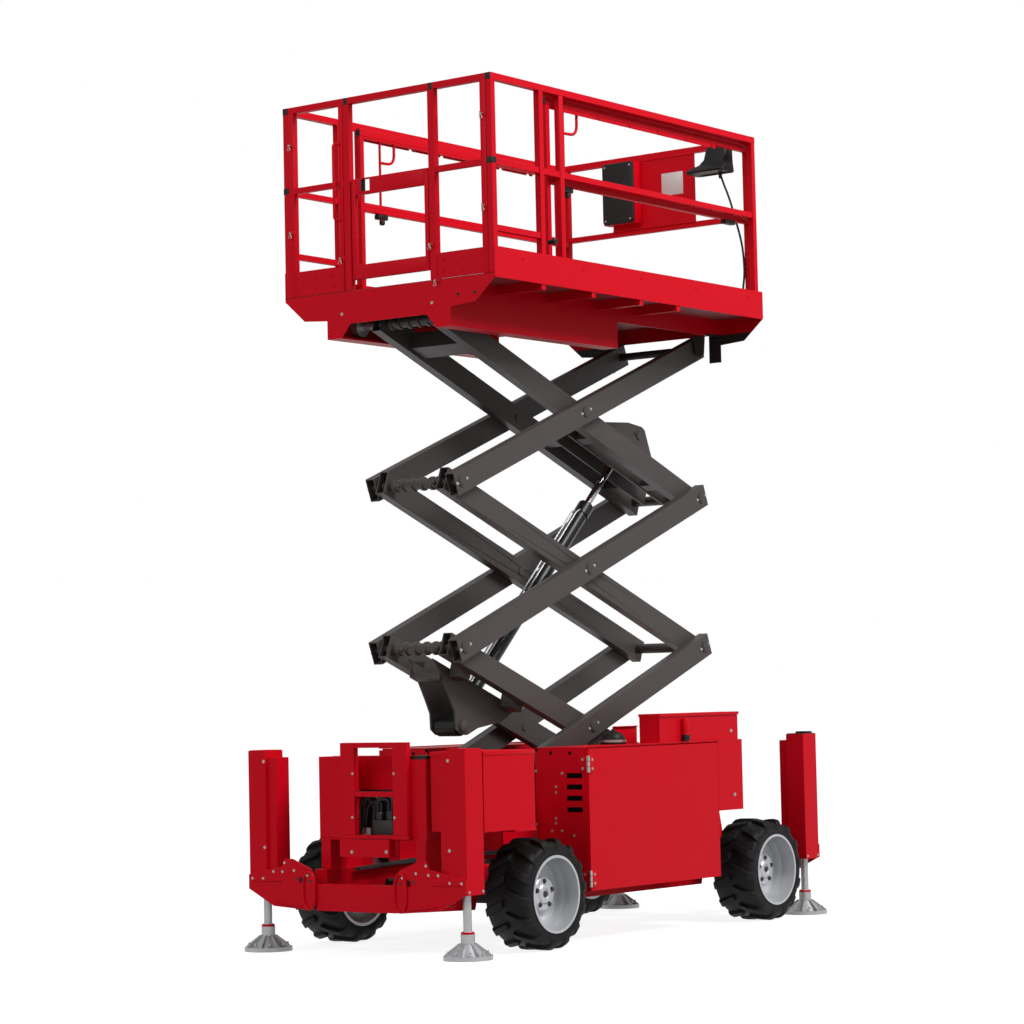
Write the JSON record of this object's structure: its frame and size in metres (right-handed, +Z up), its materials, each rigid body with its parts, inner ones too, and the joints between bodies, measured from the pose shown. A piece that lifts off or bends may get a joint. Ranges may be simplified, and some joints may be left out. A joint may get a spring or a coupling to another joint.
{
  "type": "scissor lift",
  "caption": "Rough-terrain scissor lift: guard-railed platform on a raised scissor stack, wheeled chassis with side trays and levelling jacks.",
  "frame": {"origin": "on the ground, at the bottom centre of the whole machine as stored", "axes": "+X towards the front, +Z up, -Y is the machine's right side"},
  "size_m": [3.84, 1.7698, 5.041],
  "materials": {
    "red_paint": "semi-gloss",
    "grey_paint": "satin",
    "black_paint": "satin",
    "rim_paint": "satin",
    "steel": "brushed",
    "chrome": "polished",
    "tyre": "matt",
    "deck_metal": "satin",
    "cast": "rough",
    "plastic": "matt"
  },
  "bodies": {
    "chassis": {"chassis_rails": "red_paint", "axle_rear": "grey_paint", "axle_front": "grey_paint", "scissor_base": "red_paint", "end_frame_rear": "red_paint", "end_frame_front": "red_paint", "jack_front_left": "red_paint", "jack_front_right": "red_paint", "jack_rear_left": "red_paint", "jack_rear_right": "red_paint", "rear_box": "red_paint", "ladder": "red_paint", "toolbox": "red_paint", "tray_left": "red_paint", "tray_right": "red_paint", "engine_block": "cast"},
    "door_right": {"door_right": "red_paint"},
    "door_left": {"door_left": "red_paint"},
    "knuckle_right": {"knuckle_right": "grey_paint"},
    "knuckle_left": {"knuckle_left": "grey_paint"},
    "wheel_front_right": {"tyre_front_right": "tyre", "rim_front_right": "rim_paint"},
    "wheel_front_left": {"tyre_front_left": "tyre", "rim_front_left": "rim_paint"},
    "wheel_rear_right": {"tyre_rear_right": "tyre", "rim_rear_right": "rim_paint"},
    "wheel_rear_left": {"tyre_rear_left": "tyre", "rim_rear_left": "rim_paint"},
    "jack_leg_front_right": {"jack_leg_front_right": "steel"},
    "jack_leg_front_left": {"jack_leg_front_left": "steel"},
    "jack_leg_rear_right": {"jack_leg_rear_right": "steel"},
    "jack_leg_rear_left": {"jack_leg_rear_left": "steel"},
    "inner_arms_1": {"arms_inner_1": "grey_paint"},
    "outer_arms_1": {"arms_outer_1": "grey_paint"},
    "outer_arms_2": {"arms_outer_2": "grey_paint"},
    "inner_arms_2": {"arms_inner_2": "grey_paint"},
    "inner_arms_3": {"arms_inner_3": "grey_paint", "top_rollers": "steel"},
    "outer_arms_3": {"arms_outer_3": "grey_paint"},
    "lift_rod": {"lift_rod": "chrome"},
    "lift_barrel": {"lift_barrel": "black_paint"},
    "platform": {"platform_frame": "red_paint", "platform_floor": "deck_metal", "rails_left": "red_paint", "rails_right": "red_paint", "rails_rear": "red_paint"},
    "gate": {"gate": "red_paint"},
    "extension": {"extension_deck": "red_paint", "extension_rails": "red_paint", "front_panel": "red_paint", "control_box": "plastic"}
  },
  "joints": [
    {"name": "lift", "type": "hinge", "parent": "chassis", "child": "inner_arms_1", "pos_m": [1.293, 0, 0.778], "axis": [0, 1, 0], "range_deg": [-16.8, 37.7]},
    {"name": "centre_pin_1", "type": "hinge", "parent": "inner_arms_1", "child": "outer_arms_1", "pos_m": [0.03351, 0, 1.264], "axis": [0, -1, 0], "range_deg": [-33.7, 75.5]},
    {"name": "rear_pin_1", "type": "hinge", "parent": "inner_arms_1", "child": "outer_arms_2", "pos_m": [-1.22597, 0, 1.74999], "axis": [0, -1, 0], "range_deg": [-33.7, 75.5]},
    {"name": "centre_pin_2", "type": "hinge", "parent": "outer_arms_2", "child": "inner_arms_2", "pos_m": [0.03351, 0, 2.23599], "axis": [0, 1, 0], "range_deg": [-33.7, 75.5]},
    {"name": "front_pin_2", "type": "hinge", "parent": "outer_arms_2", "child": "inner_arms_3", "pos_m": [1.293, 0, 2.72198], "axis": [0, 1, 0], "range_deg": [-33.7, 75.5]},
    {"name": "centre_pin_3", "type": "hinge", "parent": "inner_arms_3", "child": "outer_arms_3", "pos_m": [0.03351, 0, 3.20798], "axis": [0, -1, 0], "range_deg": [-33.7, 75.5]},
    {"name": "platform_pin", "type": "hinge", "parent": "outer_arms_3", "child": "platform", "pos_m": [1.293, 0, 3.69397], "axis": [0, 1, 0], "range_deg": [-16.9, 37.8]},
    {"name": "rod_eye", "type": "hinge", "parent": "inner_arms_3", "child": "lift_rod", "pos_m": [0.96785, 0, 3.12935], "axis": [0, -1, 0], "range_deg": [-28, 62.7]},
    {"name": "barrel_slide", "type": "slide", "parent": "lift_rod", "child": "lift_barrel", "axis": [-0.7234, 0, -0.6904], "range_m": [-0.48, 1.07]},
    {"name": "steering_right", "type": "hinge", "parent": "chassis", "child": "knuckle_right", "pos_m": [1.24, -0.575, 0.322], "axis": [0, 0, 1], "range_deg": [-28, 28]},
    {"name": "steering_left", "type": "hinge", "parent": "chassis", "child": "knuckle_left", "pos_m": [1.24, 0.575, 0.322], "axis": [0, 0, 1], "range_deg": [-28, 28]},
    {"name": "wheel_front_right", "type": "hinge", "parent": "knuckle_right", "child": "wheel_front_right", "pos_m": [1.24, -0.725, 0.322], "axis": [0, 1, 0], "continuous": true},
    {"name": "wheel_front_left", "type": "hinge", "parent": "knuckle_left", "child": "wheel_front_left", "pos_m": [1.24, 0.725, 0.322], "axis": [0, 1, 0], "continuous": true},
    {"name": "wheel_rear_right", "type": "hinge", "parent": "chassis", "child": "wheel_rear_right", "pos_m": [-1.115, -0.725, 0.322], "axis": [0, 1, 0], "continuous": true},
    {"name": "wheel_rear_left", "type": "hinge", "parent": "chassis", "child": "wheel_rear_left", "pos_m": [-1.115, 0.725, 0.322], "axis": [0, 1, 0], "continuous": true},
    {"name": "jack_front_right", "type": "slide", "parent": "chassis", "child": "jack_leg_front_right", "axis": [0, 0, 1], "range_m": [-0.15, 0.2]},
    {"name": "jack_front_left", "type": "slide", "parent": "chassis", "child": "jack_leg_front_left", "axis": [0, 0, 1], "range_m": [-0.15, 0.2]},
    {"name": "jack_rear_right", "type": "slide", "parent": "chassis", "child": "jack_leg_rear_right", "axis": [0, 0, 1], "range_m": [-0.15, 0.2]},
    {"name": "jack_rear_left", "type": "slide", "parent": "chassis", "child": "jack_leg_rear_left", "axis": [0, 0, 1], "range_m": [-0.15, 0.2]},
    {"name": "door_right", "type": "hinge", "parent": "chassis", "child": "door_right", "pos_m": [-0.683, -0.806, 0.72], "axis": [0, 0, -1], "range_deg": [0, 110]},
    {"name": "door_left", "type": "hinge", "parent": "chassis", "child": "door_left", "pos_m": [-0.683, 0.806, 0.72], "axis": [0, 0, 1], "range_deg": [0, 110]},
    {"name": "gate", "type": "hinge", "parent": "platform", "child": "gate", "pos_m": [-1.421, -0.322, 4.2], "axis": [0, 0, -1], "range_deg": [0, 90]},
    {"name": "extension", "type": "slide", "parent": "platform", "child": "extension", "axis": [1, 0, 0], "range_m": [0, 1.2]}
  ],
  "couplings": [
    {"joint": "centre_pin_1", "follows": "lift", "ratio": 2},
    {"joint": "rear_pin_1", "follows": "lift", "ratio": 2},
    {"joint": "centre_pin_2", "follows": "lift", "ratio": 2},
    {"joint": "front_pin_2", "follows": "lift", "ratio": 2},
    {"joint": "centre_pin_3", "follows": "lift", "ratio": 2},
    {"joint": "platform_pin", "follows": "lift", "ratio": 1},
    {"joint": "rod_eye", "follows": "lift", "ratio": 1.66},
    {"joint": "barrel_slide", "follows": "lift", "m_per_rad": 1.62},
    {"joint": "steering_left", "follows": "steering_right", "ratio": 1}
  ]
}
